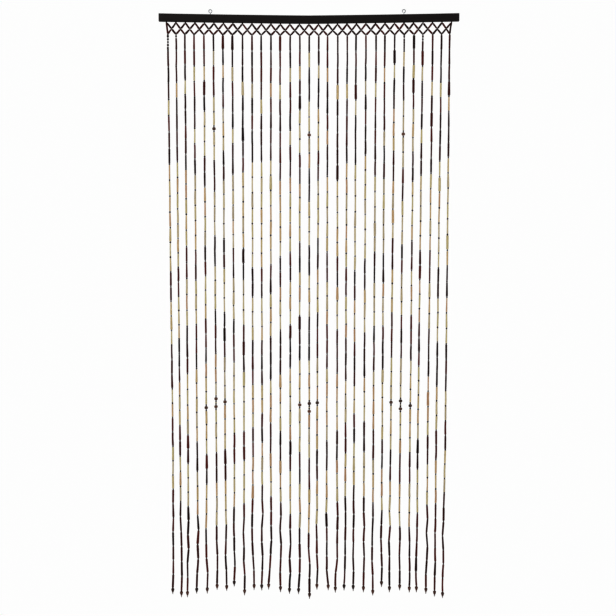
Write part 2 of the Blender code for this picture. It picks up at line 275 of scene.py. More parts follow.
def wire_mesh(name: str, lines: Sequence[Sequence[Point]], radius: float,
              roundness: int) -> bpy.types.Mesh:
    """Sweep a round section along straight-sided lines.

    Args:
        name: the mesh's name.
        lines: the points of each line.
        radius: the section's radius.
        roundness: Blender's bevel resolution, so the section has twice this plus four sides.

    Returns:
        One closed body for each line.
    """
    data = bpy.data.curves.new(name, "CURVE")
    data.dimensions = "3D"
    data.bevel_depth = radius
    data.bevel_resolution = roundness
    data.use_fill_caps = True
    for line in lines:
        spline = data.splines.new("POLY")
        spline.points.add(len(line) - 1)
        for point, place in zip(spline.points, line):
            point.co = (*place, 1.0)
    mesh = evaluated_mesh(link_object(name, data), name)
    work = bmesh.new()
    work.from_mesh(mesh)
    bmesh.ops.remove_doubles(work, verts=work.verts, dist=1e-6)
    release(work, mesh)
    smooth(mesh, 60.0)
    return mesh


# How the curtain hangs, with the sizes that the solids were made from


class Code(Enum):
    """What is threaded next on a strand."""

    DARK = "D"
    LIGHT = "L"
    BALL = "O"
    SPACER = "S"


@dataclass(frozen=True)
class Hang:
    """How one strand hangs, in millimetres.

    shift is its place against an even spacing, low, knee and tip are how far it strays
    sideways on the way down, and short is how much shorter it is than the longest. high_lift
    and middle_lift are how far its joints stand above an even spacing at two levels, because
    no two strands have tubes of just the same lengths.
    """

    shift: float
    low: float
    knee: float
    tip: float
    short: float
    high_lift: float
    middle_lift: float


@dataclass(frozen=True)
class Threaded:
    """One thing threaded on a strand, between two joints."""

    code: Code
    number: int
    upper: Point
    lower: Point


HANGS: dict[int, Hang] = {
    # strand: shift, low, knee, tip, short, high lift, middle lift
    1: Hang(4, 3, 1, 0, 15, -26, -12),
    2: Hang(0, 1, 1, 1, 5, -12, 18),
    3: Hang(-2, -1, -3, -6, 5, 20, -14),
    4: Hang(-3, 0, 1, -4, 16, -4, 4),
    5: Hang(-2, 0, -2, 0, 17, 4, 16),
    6: Hang(-2, 2, 3, -1, 28, 1, 9),
    7: Hang(-2, 1, 2, 2, 25, 26, 29),
    8: Hang(-2, 1, 0, -1, 39, -10, 16),
    9: Hang(0, 1, -1, 0, 11, 10, -6),
    10: Hang(0, 0, -3, 4, 28, -16, -6),
    11: Hang(-1, 1, 1, 0, 27, -16, -6),
    12: Hang(0, -2, 1, -8, 30, -8, 8),
    13: Hang(-1, 1, 2, -1, 21, -24, -14),
    14: Hang(1, 1, 1, 1, 16, -10, 10),
    15: Hang(1, 2, 2, 1, 15, 20, 27),
    16: Hang(1, 3, 4, 4, 0, -22, 14),
    17: Hang(1, -1, 0, 2, 29, 26, 24),
    18: Hang(-1, 3, 3, 8, 27, -12, 0),
    19: Hang(1, 4, 8, 0, 20, -26, -10),
    20: Hang(1, 2, 2, 2, 27, -20, 10),
    21: Hang(-1, 2, 2, 4, 25, -26, -6),
    22: Hang(0, 4, 5, 6, 21, 14, 20),
    23: Hang(2, 2, 3, 3, 10, -6, 0),
    24: Hang(0, 3, 3, 6, 38, -24, -8),
    25: Hang(1, 0, -1, 1, 21, 26, 30),
    26: Hang(1, 1, 2, 7, 27, -30, 4),
    27: Hang(2, 2, 4, 7, 20, 22, 20),
    28: Hang(0, 0, 1, -1, 21, -8, 10),
    29: Hang(1, 1, 3, 1, 16, 0, -26),
    30: Hang(-1, 1, 3, 2, 7, -10, 0),
    31: Hang(-5, 5, 2, 4, 2, 6, -14),
}

# Tubes down a strand by its distance from the middle of a diamond
CHART: dict[int, str] = {
    0: "D L DD LL O LL DD LLL DD LLL DDD LLL O S O LLL DD LLL DDDD",
    1: "DD L DD LLL DD LLLL DD LLL DDD LLL O LLL DD LLL DDDD",
    2: "DD L DDD L DD LLLLL DD LLL DDD LLLLL DD LLL DDDDD",
    3: "DDD L DDDDD LLLLL DD LLL DDD LLLL DD LLL DDDDDD",
    4: "DDD L DDDD LLLLLLL DD LLL DDD LLL DD LLL DDDDDD",
    5: "DDDD L DDD LLLLLLL DD LLL DDD LL DD LLL DDDDDDD",
}
DIAMOND_CENTRES = (6, 16, 26)

# Strands that begin with small round beads, and how many of them
ROUND_BEADS = {1: 4, 2: 1, 26: 1, 28: 2}

# Strands whose stained tubes are more red than black
REDDER_STRANDS = (1, 2, 3, 4, 5, 11, 12, 13, 14, 15, 18, 19, 20, 25, 27, 28, 29, 31)

# The thick tubes that stand out, counted from the top of their strand
THICK: dict[int, tuple[int, ...]] = {
    3: (26, 31, 33), 4: (33, 34), 5: (3, 28), 7: (0, 20, 28), 8: (0,), 9: (3, 6, 14, 20, 22, 27),
    10: (30,), 12: (9,), 13: (0, 22, 28), 14: (19, 27, 35), 15: (4, 19, 34), 16: (29, 35),
    18: (32,), 19: (3, 8, 16, 32), 21: (3,), 23: (12,), 24: (22,), 25: (1, 12), 27: (0, 2, 3),
    28: (1, 15, 27, 35), 29: (5, 23), 30: (9,), 31: (3, 13),
}


@dataclass(frozen=True)
class Layout:
    """Where everything on the curtain is, in metres."""

    strands: int = 31
    middle: int = 16
    bar_length: float = 0.900
    bar_height: float = 0.0228
    bar_depth: float = 0.0110
    bar_sag: float = 0.0066
    bar_bow: float = 1.3
    bar_top_at_ends: float = -0.0072
    hole_pitch: float = 0.0285
    eye_spacing: float = 0.580
    eye_shift: float = -0.0055
    heading_drop: float = 0.0375
    heading_cross: float = 0.0211
    heading_follow: float = 0.68
    longest_end: float = -1.8070
    high_level: float = -0.600
    middle_level: float = -1.210
    low_level: float = -1.360
    knee_level: float = -1.640
    loose_tubes: int = 6
    upper_sway: float = 0.0004
    loose_sway: float = 0.0021
    depth_sway: float = 0.0004
    lean: float = -0.0050
    gather: float = 0.0030
    ball_radius: float = 0.0053
    ball_spacer: float = 0.0140
    end_bead_length: float = 0.0140
    knot_and_tail: float = 0.0055

    def numbers(self) -> range:
        """The strands' numbers, left to right."""
        return range(1, self.strands + 1)

    def sag(self, x: float) -> float:
        """How far the bar has sunk at x below its ends."""
        return self.bar_sag * (1.0 - abs(2.0 * x / self.bar_length) ** self.bar_bow)

    def bar_top(self, x: float) -> float:
        """Height of the bar's top at x."""
        return self.bar_top_at_ends - self.sag(x)

    def bar_bottom(self, x: float) -> float:
        """Height of the bar's underside at x."""
        return self.bar_top(x) - self.bar_height

    def hole_x(self, strand: int) -> float:
        """Place of a strand's hole along the bar."""
        return (strand - self.middle) * self.hole_pitch

    def eye_x(self, side: int) -> float:
        """Place of the left (-1) or right (1) screw eye along the bar."""
        return self.eye_shift + side * self.eye_spacing / 2

    def root_x(self, strand: int) -> float:
        """Place of a strand's top end, under the heading."""
        return self.hole_x(strand) + HANGS[strand].shift * MM

    def heading_bottom(self, x: float) -> float:
        """Height of the heading's foot, which follows most of the bar's sag."""
        at_ends = self.bar_top_at_ends - self.bar_height - self.heading_drop
        return at_ends - self.heading_follow * self.sag(x)

    def crossing(self, strand: int) -> Point:
        """Find where the arms of a strand and the next one cross.

        Args:
            strand: the strand's number.

        Returns:
            The place.
        """
        pair = (strand, strand + 1)
        ends = [self.hole_x(one) for one in pair] + [self.root_x(one) for one in pair]
        x = sum(ends) / len(ends)
        return x, 0.0, self.bar_bottom(x) - self.heading_cross

    def strand_end(self, strand: int) -> float:
        """Height of the lowest point of a strand's tail."""
        return self.longest_end + HANGS[strand].short * MM

    def strand_finish(self, strand: int) -> float:
        """Height of the foot of a strand's last tube."""
        return self.strand_end(strand) + self.end_bead_length + self.knot_and_tail

    def between_levels(self, z: float, levels: Sequence[float], values: Sequence[float]) -> float:
        """The metres at height z on a line through values in millimetres at falling levels."""
        return float(np.interp(-z, [-level for level in levels], values)) * MM

    def hang_x(self, strand: int, z: float) -> float:
        """Find where a strand hangs, without the small kinks at its joints.

        Args:
            strand: the strand's number.
            z: the height.

        Returns:
            The place along the bar.
        """
        hang = HANGS[strand]
        root = self.root_x(strand)
        top = self.heading_bottom(root)
        drop = (top - z) / (top - self.longest_end)
        drift = (self.lean - self.gather * root / self.hole_x(self.strands)) * drop
        levels = (top, self.low_level, self.knee_level, self.strand_end(strand))
        return root + drift + self.between_levels(z, levels, (0.0, hang.low, hang.knee, hang.tip))

    def lift(self, strand: int, z: float) -> float:
        """Find how far a joint stands above its place in an even spacing.

        Args:
            strand: the strand's number.
            z: the joint's height in an even spacing.

        Returns:
            The distance in metres.
        """
        hang = HANGS[strand]
        top = self.heading_bottom(self.root_x(strand))
        levels = (top, self.high_level, self.middle_level, self.strand_finish(strand))
        return self.between_levels(z, levels, (0.0, hang.high_lift, hang.middle_lift, 0.0))

    def threaded(self, strand: int) -> list[Threaded]:
        """Everything threaded on a strand, from its top to its end bead.

        Args:
            strand: the strand's number.

        Returns:
            One entry for each tube, ball and spacer, with the joints at its ends.
        """
        distance = min(abs(strand - centre) for centre in DIAMOND_CENTRES)
        codes = [Code(letter) for letter in CHART[distance].replace(" ", "")]
        fixed = {Code.BALL: 2 * self.ball_radius, Code.SPACER: self.ball_spacer}
        top = self.heading_bottom(self.root_x(strand))
        tubes = sum(code not in fixed for code in codes)
        taken = sum(fixed.get(code, 0.0) for code in codes)
        pitch = (top - self.strand_finish(strand) - taken) / tubes
        draw = random.Random(strand)
        upper = (self.root_x(strand), 0.0, top)
        even = top
        made = []
        number = 0
        for index, code in enumerate(codes):
            even -= fixed.get(code, pitch)
            z = upper[2] - fixed[code] if code in fixed else even + self.lift(strand, even)
            sway = self.loose_sway if index >= len(codes) - self.loose_tubes else self.upper_sway
            x = self.hang_x(strand, z) + draw.uniform(-sway, sway)
            y = draw.uniform(-self.depth_sway, self.depth_sway)
            if code is Code.BALL:
                x, y = upper[:2]
            made.append(Threaded(code, number, upper, (x, y, z)))
            number += code not in fixed
            upper = (x, y, z)
        return made


# Finishes


def stretched_noise(tree: bpy.types.NodeTree, place: Source, stretch: Point,
                    settings: dict) -> bpy.types.Node:
    """Add noise that is stretched one way, such as the grain along a slat.

    Args:
        tree: the material's tree.
        place: the coordinates that it lies on.
        stretch: what each coordinate is multiplied by.
        settings: the noise's settings.

    Returns:
        The noise node.
    """
    mapped = add_node(tree, "ShaderNodeMapping", {"Scale": stretch}, {"Vector": place})
    return add_node(tree, "ShaderNodeTexNoise", {"Scale": 1.0, **settings}, {"Vector": mapped})


@dataclass(frozen=True)
class Finish:
    """A material's name and the numbers that every finish has.

    tones are its colours, smoother and rougher are how far its pattern takes the roughness
    down and up, relief is the bump's strength, and relief_height is in metres.
    """

    name: str
    roughness: float
    ior: float = 1.5
    tones: Stops = ()
    metallic: float = 0.0
    specular: float = 0.5
    coat: float = 0.0
    coat_roughness: float = 0.25
    smoother: float = 0.0
    rougher: float = 0.0
    relief: float = 0.3
    relief_height: float = 0.0002

    def build(self) -> bpy.types.Material:
        """Make the material: the shader's own numbers, then the finish's colour and pattern.

        Returns:
            The material.
        """
        material = bpy.data.materials.new(self.name)
        material.use_nodes = True
        tree = material.node_tree
        shader = tree.nodes["Principled BSDF"]
        numbers = {"Roughness": self.roughness, "Metallic": self.metallic, "Coat Weight": self.coat,
                   "Specular IOR Level": self.specular, "Coat Roughness": self.coat_roughness}
        if not self.metallic:
            numbers["IOR"] = self.ior
        for name, number in numbers.items():
            shader.inputs[name].default_value = number
        colour, pattern = self.paint(tree)
        links = {"Base Color": colour}
        if self.smoother or self.rougher:
            reach = {"To Min": self.roughness - self.smoother, "To Max": self.roughness + self.rougher}
            links["Roughness"] = add_node(tree, "ShaderNodeMapRange", reach, {"Value": pattern})
        bump = {"Strength": self.relief, "Distance": self.relief_height}
        links["Normal"] = add_node(tree, "ShaderNodeBump", bump, {"Height": pattern})
        for name, source in links.items():
            tree.links.new(output_of(source), shader.inputs[name])
        return material

    def paint(self, tree: bpy.types.NodeTree) -> tuple[Source, Source]:
        """Add the nodes of the finish's look.

        Args:
            tree: the material's tree.

        Returns:
            The colour, and the pattern of the relief and the gloss.
        """
        raise NotImplementedError(self.name)


@dataclass(frozen=True)
class Bamboo(Finish):
    """Thin bamboo cane cut into tubes: straight fibres along the tube, and a stain that varies.

    Each tube's tone, a number from zero to one, picks its colour, and its seed moves the
    pattern, so that no two tubes are alike.
    """

    smoother: float = 0.08
    rougher: float = 0.14
    relief: float = 0.35
    relief_height: float = 0.0003
    streak: str = "000000"
    streak_share: float = 0.5
    worn: str = "FFFFFF"
    worn_share: float = 0.3
    # Bundles of fibres 0.45 mm wide and 9 mm long, on a tube 2.5 mm in radius and 46 mm long
    fibre_stretch: Point = (0.0025 / 0.00045, 0.0025 / 0.00045, 0.046 / 0.009)
    # Cloudy patches of stain, about 3.2 mm across and 15 mm long
    cloud_stretch: Point = (0.78, 0.78, 3.12)
    # Where a dark streak and a worn patch start in their noise and where they are full
    streak_range: tuple[float, float] = (0.35, 0.62)
    patch_range: tuple[float, float] = (0.5, 0.78)
    # The rubbed ends, from the middle of a tube one unit long
    end_range: tuple[float, float] = (0.44, 0.50)

    def paint(self, tree: bpy.types.NodeTree) -> tuple[Source, Source]:
        """Add the tone with its dark fibres, worn in patches and rubbed at the ends.

        Args:
            tree: the material's tree.

        Returns:
            The colour, and the fibres.
        """
        place, seed = (add_node(tree, "ShaderNodeAttribute", {"attribute_name": name}).outputs["Vector"]
                       for name in ("grain_place", "seed"))
        tone = add_node(tree, "ShaderNodeAttribute", {"attribute_name": "tone"}).outputs["Fac"]
        moved = add_node(tree, "ShaderNodeVectorMath", {"operation": "ADD"}, {0: place, 1: seed})
        fibres = stretched_noise(tree, moved, self.fibre_stretch, {"Detail": 4.0, "Roughness": 0.65})
        clouds = stretched_noise(tree, moved, self.cloud_stretch, {"Detail": 3.0})
        upright = add_node(tree, "ShaderNodeSeparateXYZ", links={0: place}).outputs["Z"]
        reach = add_node(tree, "ShaderNodeMath", {"operation": "ABSOLUTE"}, {0: upright})
        rows = ((fibres, self.streak_range, self.streak_share), (clouds, self.patch_range, self.worn_share),
                (reach, self.end_range, self.worn_share))
        streaks, patches, ends = (
            add_node(tree, "ShaderNodeMapRange", {"From Min": low, "From Max": high, "To Max": share},
                     {"Value": source}) for source, (low, high), share in rows)
        worn = add_node(tree, "ShaderNodeMath", {"operation": "MAXIMUM"}, {0: patches, 1: ends})
        colour = add_node(tree, "ShaderNodeValToRGB", {"stops": self.tones}, {"Fac": tone})
        for code, factor in ((self.streak, streaks), (self.worn, worn)):
            colour = add_node(tree, "ShaderNodeMix", {"data_type": "RGBA", 7: linear(code)},
                              {0: factor, 6: colour})
        return colour, fibres


@dataclass(frozen=True)
class TurnedWood(Finish):
    """A small wooden bead turned on a lathe, dyed and lacquered: rings, pores and a soft shine."""

    # What a bead's colour is multiplied by, from the most dyed to the least
    dyes: Stops = ((0.0, "808084"), (1.0, "FFFFFF"))
    rings_per_metre: float = 900.0
    pores_per_ring: float = 3.0
    stretch: Point = (1.0, 1.0, 0.35)

    def paint(self, tree: bpy.types.NodeTree) -> tuple[Source, Source]:
        """Add the grain, darkened by each bead's tone, and its pores.

        Args:
            tree: the material's tree.

        Returns:
            The colour, and the pores.
        """
        place = add_node(tree, "ShaderNodeTexCoord").outputs["Object"]
        grain = stretched_noise(tree, place, self.stretch,
                                {"Scale": self.rings_per_metre, "Detail": 4.0, "Distortion": 0.6})
        pores = stretched_noise(tree, place, self.stretch,
                                {"Scale": self.pores_per_ring * self.rings_per_metre, "Detail": 2.0})
        wood = add_node(tree, "ShaderNodeValToRGB", {"stops": self.tones}, {"Fac": grain})
        tone = add_node(tree, "ShaderNodeAttribute", {"attribute_name": "tone"}).outputs["Fac"]
        dye = add_node(tree, "ShaderNodeValToRGB", {"stops": self.dyes}, {"Fac": tone})
        dyed = add_node(tree, "ShaderNodeMix", {"data_type": "RGBA", "blend_type": "MULTIPLY", 0: 1.0},
                        {6: wood, 7: dye})
        return dyed, pores


@dataclass(frozen=True)
class StainedSlat(Finish):
    """A planed softwood slat under black stain: a faint relief of long grain, edges rubbed brown."""

    smoother: float = 0.08
    rougher: float = 0.15
    relief: float = 0.4
    relief_height: float = 0.0004
    edge: str = "3B2C24"
    # Growth rings cut lengthwise, about 1.5 mm apart and 150 mm long, and finer fibres
    ring_stretch: Point = (7.0, 500.0, 500.0)
    fibre_stretch: Point = (60.0, 2600.0, 2600.0)
    fibre_share: float = 0.35

    def paint(self, tree: bpy.types.NodeTree) -> tuple[Source, Source]:
        """Add the grain, and the worn edges where the grain stands up.

        Args:
            tree: the material's tree.

        Returns:
            The colour, and the grain.
        """
        place = add_node(tree, "ShaderNodeTexCoord").outputs["Object"]
        rings = stretched_noise(tree, place, self.ring_stretch,
                                {"Detail": 5.0, "Roughness": 0.6, "Distortion": 0.4})
        fibres = stretched_noise(tree, place, self.fibre_stretch, {"Detail": 2.0})
        grain = add_node(tree, "ShaderNodeMath", {"operation": "MULTIPLY_ADD", 1: self.fibre_share},
                         {0: fibres, 2: rings})
        stained = add_node(tree, "ShaderNodeValToRGB", {"stops": self.tones}, {"Fac": grain})
        edge = add_node(tree, "ShaderNodeAttribute", {"attribute_name": "edge"}).outputs["Fac"]
        rubbed = add_node(tree, "ShaderNodeMath", {"operation": "MULTIPLY"}, {0: edge, 1: rings})
        colour = add_node(tree, "ShaderNodeMix", {"data_type": "RGBA", 7: linear(self.edge)},
                          {0: rubbed, 6: stained})
        return colour, grain


@dataclass(frozen=True)
class TwistedCord(Finish):
    """A thin twisted cord: slanting plies 0.8 mm apart."""

    relief: float = 0.5
    plies_per_metre: float = 1200.0
    slant: float = 35.0

    def paint(self, tree: bpy.types.NodeTree) -> tuple[Source, Source]:
        """Add the plies.

        Args:
            tree: the material's tree.

        Returns:
            The colour, and the plies.
        """
        place = add_node(tree, "ShaderNodeTexCoord").outputs["Object"]
        slanted = add_node(tree, "ShaderNodeMapping", {"Rotation": (0.0, math.radians(self.slant), 0.0)},
                           {"Vector": place})
        # A wave of this texture is a twentieth of a unit long at scale one
        scale = self.plies_per_metre / 20
        bands = {"wave_type": "BANDS", "bands_direction": "Z", "Scale": scale, "Distortion": 1.0}
        plies = add_node(tree, "ShaderNodeTexWave", bands, {"Vector": slanted}).outputs["Fac"]
        return add_node(tree, "ShaderNodeValToRGB", {"stops": self.tones}, {"Fac": plies}), plies


@dataclass(frozen=True)
class PlatedWire(Finish):
    """Drawn steel wire, zinc plated: dull silver with duller patches."""

    rougher: float = 0.25
    relief: float = 0.2
    relief_height: float = 0.0001
    spots_per_metre: float = 700.0

    def paint(self, tree: bpy.types.NodeTree) -> tuple[Source, Source]:
        """Add the duller patches.

        Args:
            tree: the material's tree.

        Returns:
            The colour, and the patches.
        """
        place = add_node(tree, "ShaderNodeTexCoord").outputs["Object"]
        spots = add_node(tree, "ShaderNodeTexNoise", {"Scale": self.spots_per_metre, "Detail": 4.0},
                         {"Vector": place})
        return add_node(tree, "ShaderNodeValToRGB", {"stops": self.tones}, {"Fac": spots}), spots


STAINED_BAMBOO = Bamboo(
    "stained bamboo cane", 0.5, 1.45, specular=0.2,
    tones=((0.0, "271413"), (0.4, "3E1915"), (0.75, "5F2420"), (1.0, "7C3229")),
    streak="140905", streak_share=0.4, worn="6B3F26", worn_share=0.25)
NATURAL_BAMBOO = Bamboo(
    "natural bamboo cane", 0.42, 1.5, specular=0.4,
    tones=((0.0, "BDB39C"), (0.3, "DBD0B0"), (0.6, "D5CC9F"), (0.82, "DBC298"), (1.0, "CCA688")),
    streak="94703E", streak_share=0.36, worn="F0DEB2", worn_share=0.4)
SEED_WOOD = TurnedWood("dyed seed bead wood", 0.45, specular=0.25, rings_per_metre=1500.0,
                       tones=((0.32, "240F09"), (0.68, "42200F")))
BALL_WOOD = TurnedWood("lacquered turned ball wood", 0.36, coat=0.25,
                       tones=((0.32, "6A4436"), (0.68, "A27761")))
END_WOOD = TurnedWood("lacquered turned end bead wood", 0.38, coat=0.2,
                      tones=((0.32, "4A2A21"), (0.68, "8A5A48")))
SLAT_WOOD = StainedSlat("black stained softwood slat", 0.5, 1.45, tones=((0.5, "0D0C0D"), (0.85, "211E20")))
CORD = TwistedCord("twisted threading cord", 0.8, tones=((0.2, "3B2D22"), (0.8, "6E5844")))
WIRE = PlatedWire("zinc plated steel wire", 0.35, metallic=1.0, tones=((0.35, "84868A"), (0.6, "BCBEC2")))


# What repeats: shapes set on points by Geometry Nodes


# The attributes of a point, which follow its place in its row
POINT_COLUMNS = (("turn", "FLOAT_VECTOR"), ("size", "FLOAT_VECTOR"), ("tone", "FLOAT"), ("seed", "FLOAT"),
                 ("kind", "INT"))


@dataclass
class PointSet:
    """Points that carry a threaded shape each: its place, turn, size, tone, seed and kind."""

    rows: list[tuple] = field(default_factory=list)
    largest_seed: float = 50.0

    def add(self, upper: Sequence[float], lower: Sequence[float], radius: float, tone: float, kind: int,
            draw: random.Random) -> None:
        """Add a shape that lies between two ends.

        Args:
            upper: its upper end.
            lower: its lower end.
            radius: its radius.
            tone: which colour it takes, from zero to one.
            kind: which of the shapes it is.
            draw: the source of its spin and seed.
        """
        along = Vector(upper) - Vector(lower)
        spin = Quaternion((0.0, 0.0, 1.0), draw.uniform(0.0, math.tau))
        turn = (along.to_track_quat("Z", "Y") @ spin).to_euler()
        place = (Vector(upper) + Vector(lower)) / 2
        seed = draw.uniform(0.0, self.largest_seed)
        self.rows.append((tuple(place), tuple(turn), (radius, radius, along.length), tone, seed, kind))

    def mesh(self, name: str) -> bpy.types.Mesh:
        """Make the points a mesh with an attribute for each of their values.

        Args:
            name: the mesh's name.

        Returns:
            The mesh.
        """
        places, *attributes = zip(*self.rows)
        made = bpy.data.meshes.new(name)
        made.vertices.add(len(places))
        made.vertices.foreach_set("co", np.array(places, np.float32).ravel())
        for (title, data_type), values in zip(POINT_COLUMNS, attributes):
            column = made.attributes.new(title, data_type, "POINT")
            number = np.int32 if data_type == "INT" else np.float32
            key = "vector" if data_type == "FLOAT_VECTOR" else "value"
            column.data.foreach_set(key, np.array(values, number).ravel())
        return made


class ThreadingNodes:
    """The Geometry Nodes tree that sets a shape on each point and wobbles its surface."""

    def __init__(self) -> None:
        """Build the tree, and note the identifier of each of its inputs."""
        self.tree = bpy.data.node_groups.new("shapes threaded on points", "GeometryNodeTree")
        face = self.tree.interface
        self.inputs: dict[str, str] = {}
        for name, kind in (("Points", "Geometry"), ("Shapes", "Collection"), ("Finish", "Material"),
                           ("Wobble Share", "Float"), ("Wobbles Per Metre", "Float"), ("Seed", "Float")):
            socket = face.new_socket(name, in_out="INPUT", socket_type="NodeSocket" + kind)
            self.inputs[name] = socket.identifier
        face.new_socket("Geometry", in_out="OUTPUT", socket_type="NodeSocketGeometry")
        self.wire_up()

    def wire_up(self) -> None:
        """Link the nodes: instances on points, realized, wobbled along their normals, given their finish."""
        tree = self.tree
        given = add_node(tree, "NodeGroupInput").outputs
        read = {}
        for name, data_type in POINT_COLUMNS:
            if name in ("turn", "size", "kind"):
                wanted = {"data_type": data_type, "Name": name}
                read[name] = add_node(tree, "GeometryNodeInputNamedAttribute", wanted)
        apart = {"Separate Children": True, "Reset Children": True}
        shapes = add_node(tree, "GeometryNodeCollectionInfo", apart, {"Collection": given["Shapes"]})
        set_down = add_node(tree, "GeometryNodeInstanceOnPoints", {"Pick Instance": True}, {
            "Points": given["Points"],
            "Instance": shapes,
            "Instance Index": read["kind"],
            "Rotation": add_node(tree, "FunctionNodeEulerToRotation", links={0: read["turn"]}),
            "Scale": read["size"],
        })
        real = add_node(tree, "GeometryNodeRealizeInstances", links={"Geometry": set_down})
        place = add_node(tree, "GeometryNodeInputPosition")
        shifted = add_node(tree, "ShaderNodeVectorMath", {"operation": "ADD"}, {0: place, 1: given["Seed"]})
        noise_field = add_node(tree, "ShaderNodeTexNoise", {"Detail": 1.0},
                               {"Vector": shifted, "Scale": given["Wobbles Per Metre"]})
        centred = add_node(tree, "ShaderNodeMath", {"operation": "SUBTRACT", 1: 0.5}, {0: noise_field})
        radius = add_node(tree, "ShaderNodeSeparateXYZ", links={0: read["size"]}).outputs["X"]
        share = given["Wobble Share"]
        reach = add_node(tree, "ShaderNodeMath", {"operation": "MULTIPLY"}, {0: radius, 1: share})
        amount = add_node(tree, "ShaderNodeMath", {"operation": "MULTIPLY"}, {0: centred, 1: reach})
        normal = add_node(tree, "GeometryNodeInputNormal")
        push = add_node(tree, "ShaderNodeVectorMath", {"operation": "SCALE"}, {0: normal, "Scale": amount})
        moved = add_node(tree, "GeometryNodeSetPosition", links={"Geometry": real, "Offset": push})
        finish = given["Finish"]
        dressed = add_node(tree, "GeometryNodeSetMaterial", links={"Geometry": moved, "Material": finish})
        add_node(tree, "NodeGroupOutput", links={0: dressed})

    def run(self, points: PointSet, name: str, shapes: Sequence[bpy.types.Mesh], finish: bpy.types.Material,
            wobble: float, patch: float) -> bpy.types.Mesh:
        """Set the shapes on the points and return them as one plain mesh.

        Args:
            points: where the shapes go.
            name: the mesh's name, whose length is the seed of its wobbles.
            shapes: the shapes to pick from, in order of kind.
            finish: their material.
            wobble: how far the surface strays, as a share of the radius.
            patch: wobbles in a metre.

        Returns:
            The mesh.
        """
        shelf = bpy.data.collections.new(name + " shapes")
        for index, shape in enumerate(shapes):
            shelf.objects.link(bpy.data.objects.new(f"{index:02d} {name}", shape))
        carrier = link_object(name + " points", points.mesh(name + " points"))
        modifier = carrier.modifiers.new("threaded", "NODES")
        modifier.node_group = self.tree
        values = {"Shapes": shelf, "Finish": finish, "Wobble Share": wobble, "Wobbles Per Metre": patch,
                  "Seed": float(len(name))}
        for title, value in values.items():
            modifier[self.inputs[title]] = value
        mesh = evaluated_mesh(carrier, name)
        for holder in list(shelf.objects):
            bpy.data.objects.remove(holder, do_unlink=True)
        bpy.data.collections.remove(shelf)
        return mesh


# The pieces


@dataclass
class HeadBar:
    """The slat: planed, its edges eased, with a hole for each cord and each eye."""

    layout: Layout
    steps: int = 60
    edge: float = 0.0009
    sharp: float = 35.0
    hand_planed: float = 0.00012
    waves_per_metre: float = 9.0
    cord_hole: float = 0.0013
    cord_hole_depth: float = 0.0060
    eye_hole: float = 0.00115
    drill_overrun: float = 0.002
    drill_sides: int = 16

    def build(self, finish: bpy.types.Material) -> bpy.types.Object:
        """Make the slat.

        Args:
            finish: its material.

        Returns:
            The piece.
        """
        slat = link_object("slat", self.blank())
        bevel = slat.modifiers.new("eased edges", "BEVEL")
        bevel.width = self.edge
        bevel.segments = 3
        bevel.limit_method = "ANGLE"
        drill = link_object("drill", self.drills())
        holes = slat.modifiers.new("drilled holes", "BOOLEAN")
        holes.operation = "DIFFERENCE"
        holes.solver = "EXACT"
        holes.object = drill
        mesh = evaluated_mesh(slat, "head_bar_slat")
        bpy.data.objects.remove(drill, do_unlink=True)
        smooth(mesh, self.sharp)
        self.mark_edges(mesh)
        return dress(mesh, "head_bar_slat", finish, ["head_bar"])

    def blank(self) -> bpy.types.Mesh:
        """Make the slat as it is before its edges are eased and its holes drilled.

        Returns:
            The mesh.
        """
        layout = self.layout
        work = bmesh.new()
        bmesh.ops.create_cube(work, size=1.0)
        bmesh.ops.scale(work, verts=work.verts, vec=(layout.bar_length, layout.bar_depth, layout.bar_height))
        long_edges = [e for e in work.edges if abs(e.verts[0].co.x - e.verts[1].co.x) > layout.bar_length / 2]
        bmesh.ops.subdivide_edges(work, edges=long_edges, cuts=self.steps - 1, use_grid_fill=True)
        for vert in work.verts:
            stray = noise.noise_vector(vert.co * self.waves_per_metre) * self.hand_planed
            vert.co.z += layout.bar_top(vert.co.x) - layout.bar_height / 2 + stray.z
            vert.co.y += stray.y
        return release(work, bpy.data.meshes.new("slat"))

    def drills(self) -> bpy.types.Mesh:
        """Make all the holes as one mesh of upright pins.

        Returns:
            The mesh.
        """
        layout = self.layout
        pins = []
        for strand in layout.numbers():
            x = layout.hole_x(strand)
            bottom = layout.bar_bottom(x)
            pins.append((x, bottom - self.drill_overrun, bottom + self.cord_hole_depth, self.cord_hole))
        for side in (-1, 1):
            x = layout.eye_x(side)
            top = layout.bar_top(x)
            pins.append((x, top - self.cord_hole_depth, top + self.drill_overrun, self.eye_hole))
        work = bmesh.new()
        for x, low, high, radius in pins:
            made = bmesh.ops.create_cone(work, cap_ends=True, segments=self.drill_sides, radius1=radius,
                                         radius2=radius, depth=high - low)
            bmesh.ops.translate(work, verts=made["verts"], vec=(x, 0.0, (low + high) / 2))
        return release(work, bpy.data.meshes.new("drill"))

    def mark_edges(self, mesh: bpy.types.Mesh) -> None:
        """Store how near each point is to an edge of the slat, as the attribute edge.

        Args:
            mesh: the finished slat.
        """
        layout = self.layout
        values = []
        for vert in mesh.vertices:
            x, y, z = vert.co
            across = layout.bar_depth / 2 - abs(y)
            middle = layout.bar_top(x) - layout.bar_height / 2
            upright = layout.bar_height / 2 - abs(z - middle)
            end = layout.bar_length / 2 - abs(x)
            nearest_two = sum(sorted((across, upright, end))[:2])
            values.append(max(0.0, 1.0 - nearest_two / (2 * self.edge)))
        column = mesh.attributes.new("edge", "FLOAT", "POINT")
        column.data.foreach_set("value", np.array(values, np.float32))


